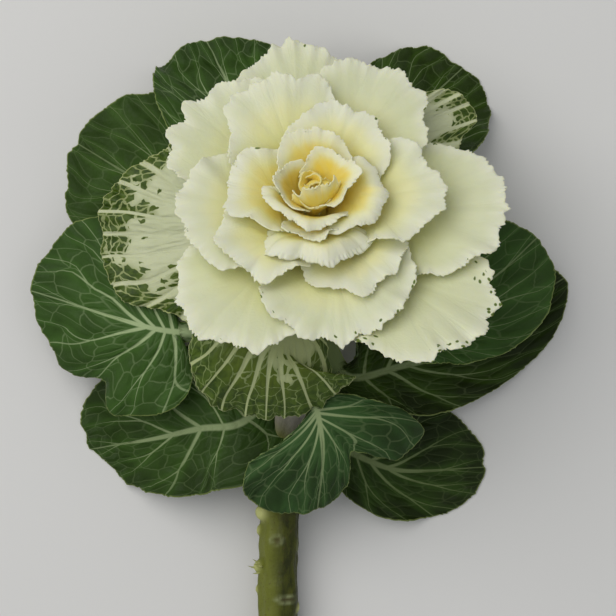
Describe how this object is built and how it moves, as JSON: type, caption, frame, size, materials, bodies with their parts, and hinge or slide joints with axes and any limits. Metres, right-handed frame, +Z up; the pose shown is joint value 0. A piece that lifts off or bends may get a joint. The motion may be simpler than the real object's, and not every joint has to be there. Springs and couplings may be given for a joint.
{
  "type": "ornamental kale stem",
  "caption": "Cut stem of ornamental kale lying on a table, with an open cream rosette of ruffled leaves, a golden heart and a ring of veined green outer leaves.",
  "frame": {"origin": "middle of the object's lowest level, on the table, a little in front of the rosette", "axes": "+Z up, the way the rosette faces; -Y along the stem towards its cut end; +X to the right, seen with the cut end in front"},
  "size_m": [0.184, 0.3076, 0.0866],
  "materials": {
    "stem": "satin",
    "green_leaf": "satin",
    "variegated_leaf": "satin",
    "cream_leaf": "satin",
    "heart": "satin"
  },
  "bodies": {
    "root": {"stem": "stem", "green_leaf_front": "green_leaf", "green_leaf_left": "green_leaf", "green_leaf_lower_left": "green_leaf", "green_leaf_lower_right": "green_leaf", "green_leaf_right": "green_leaf", "green_leaf_top_left": "green_leaf", "green_leaf_top_right": "green_leaf", "green_leaf_upper_left": "green_leaf", "green_leaf_upper_right": "green_leaf", "variegated_leaf_front": "variegated_leaf", "variegated_leaf_left": "variegated_leaf", "variegated_leaf_top_right": "variegated_leaf", "cream_leaf_1_front": "cream_leaf", "cream_leaf_1_left": "cream_leaf", "cream_leaf_1_lower_left": "cream_leaf", "cream_leaf_1_lower_right": "cream_leaf", "cream_leaf_1_right": "cream_leaf", "cream_leaf_1_top": "cream_leaf", "cream_leaf_1_upper_left": "cream_leaf", "cream_leaf_1_upper_right": "cream_leaf", "cream_leaf_2_lower_left": "cream_leaf", "cream_leaf_2_lower_right": "cream_leaf", "cream_leaf_2_right": "cream_leaf", "cream_leaf_2_top": "cream_leaf", "cream_leaf_2_upper_right": "cream_leaf", "cream_leaf_3_front": "cream_leaf", "cream_leaf_3_left": "cream_leaf", "cream_leaf_3_lower": "cream_leaf", "cream_leaf_3_lower_left": "cream_leaf", "cream_leaf_3_right": "cream_leaf", "cream_leaf_3_top": "cream_leaf", "cream_leaf_4_front": "cream_leaf", "cream_leaf_4_left": "cream_leaf", "cream_leaf_4_right": "cream_leaf", "cream_leaf_5_front": "cream_leaf", "heart": "heart"}
  },
  "joints": []
}
